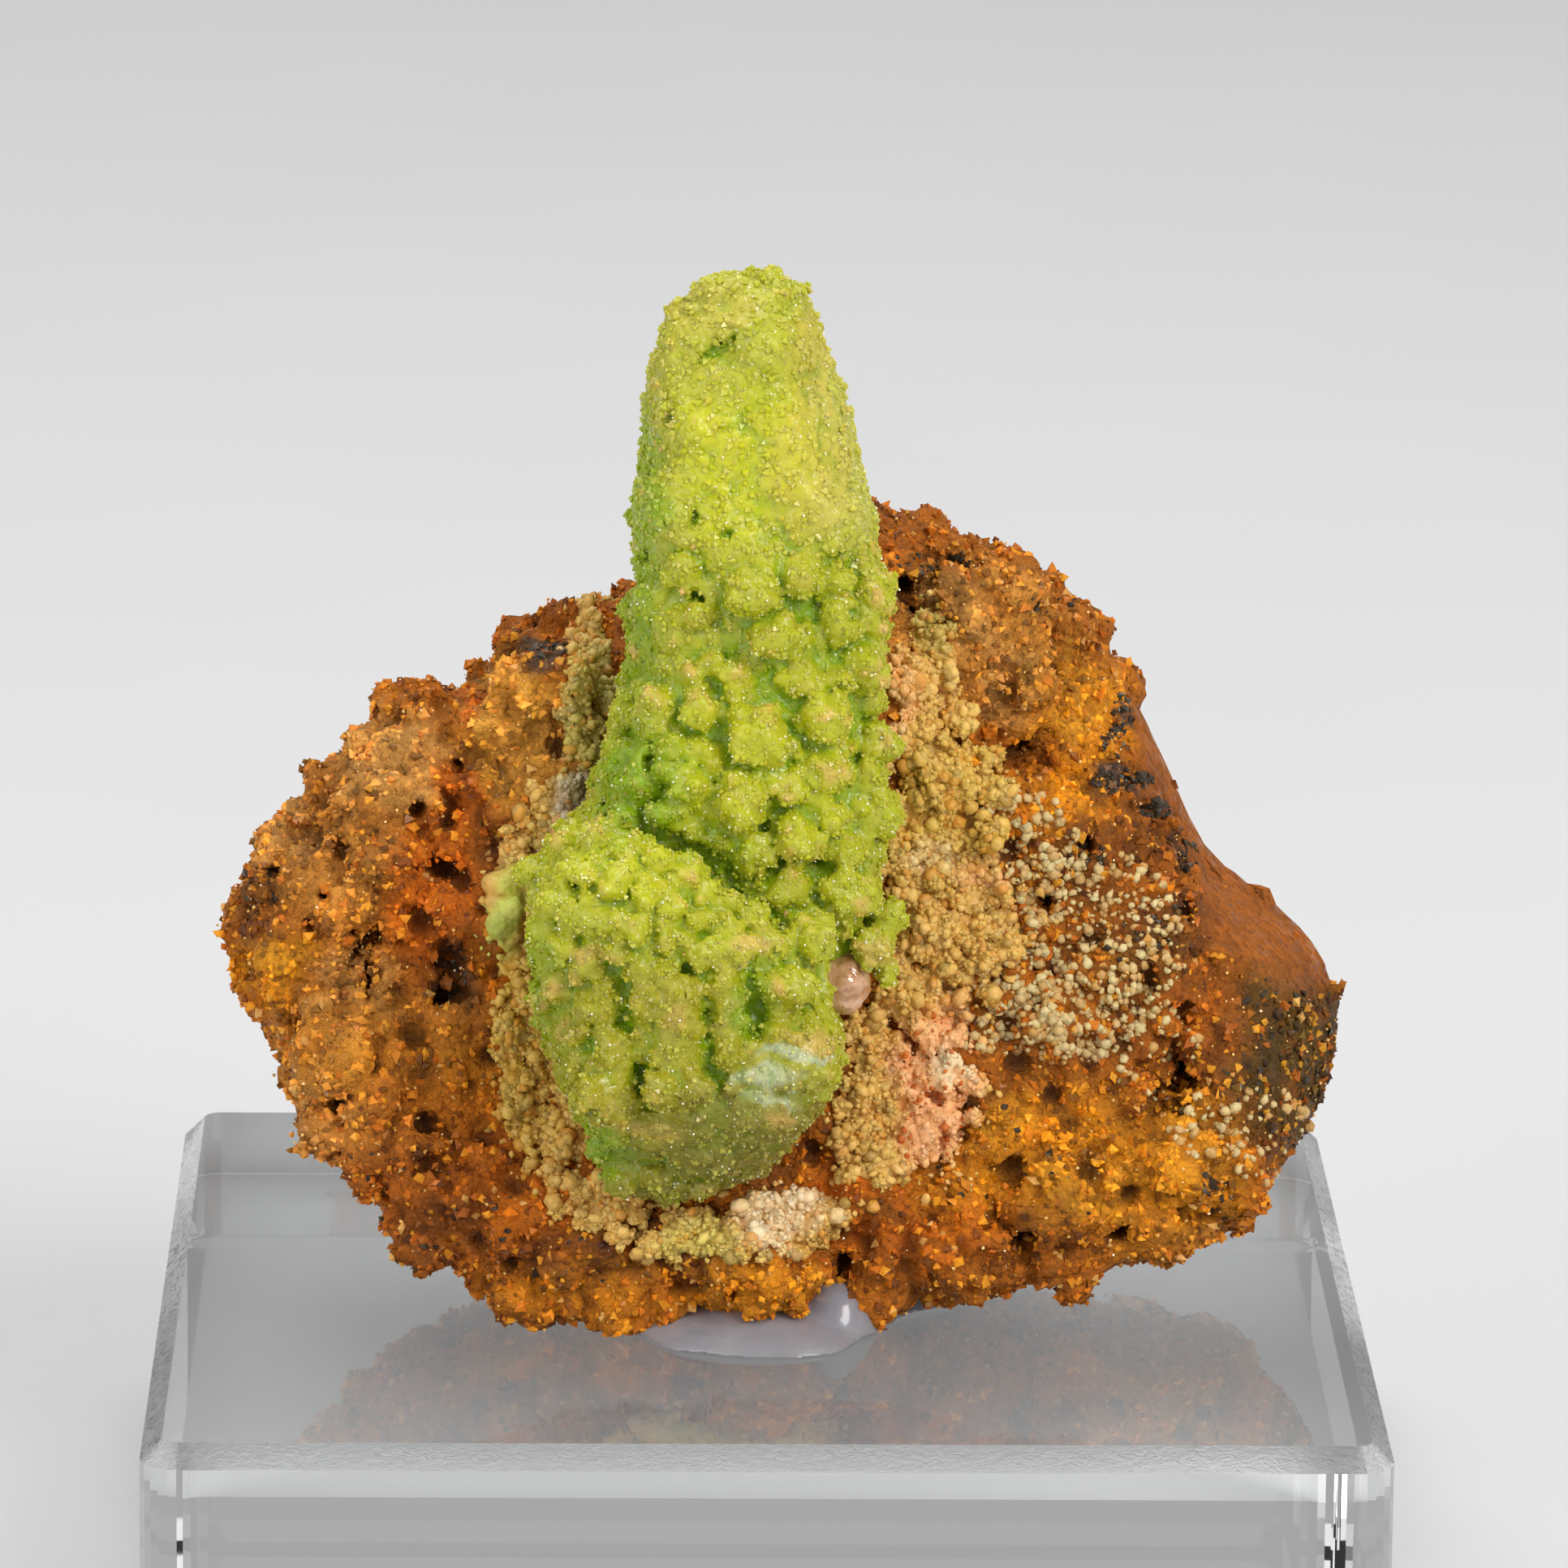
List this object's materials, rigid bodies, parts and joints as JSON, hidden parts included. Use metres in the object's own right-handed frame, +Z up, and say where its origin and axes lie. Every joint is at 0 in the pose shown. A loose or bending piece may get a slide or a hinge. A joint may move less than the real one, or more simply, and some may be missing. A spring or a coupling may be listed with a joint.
{
  "type": "phosphohedyphane and cerussite mineral specimen on clear block",
  "caption": "Mineral specimen: a lime-green botryoidal phosphohedyphane steeple on iron-stained matrix, set with putty on a clear display block.",
  "frame": {"origin": "centre of the block's underside, the face it stands on", "axes": "+Z up; the crystal faces -Y, with +X to the right as seen from in front"},
  "size_m": [0.0508, 0.0508, 0.0571],
  "materials": {
    "clear_acrylic": "polished clear acrylic with sawn, slightly frosted bevels",
    "putty": "soft translucent mineral tack, glossy",
    "limonite": "rough, granular orange-brown iron oxide with fine sparkle",
    "phosphohedyphane": "translucent lime-green botryoidal druse with fine sparkle",
    "pale_crust": "waxy cream to yellow-green botryoidal crust",
    "cerussite": "pinkish, glassy and translucent"
  },
  "bodies": {
    "root": {"acrylic_block": "clear_acrylic", "mounting_putty": "putty", "limonite_matrix": "limonite", "phosphohedyphane_crystal": "phosphohedyphane", "pale_crust": "pale_crust", "cerussite_knob": "cerussite"}
  },
  "joints": []
}
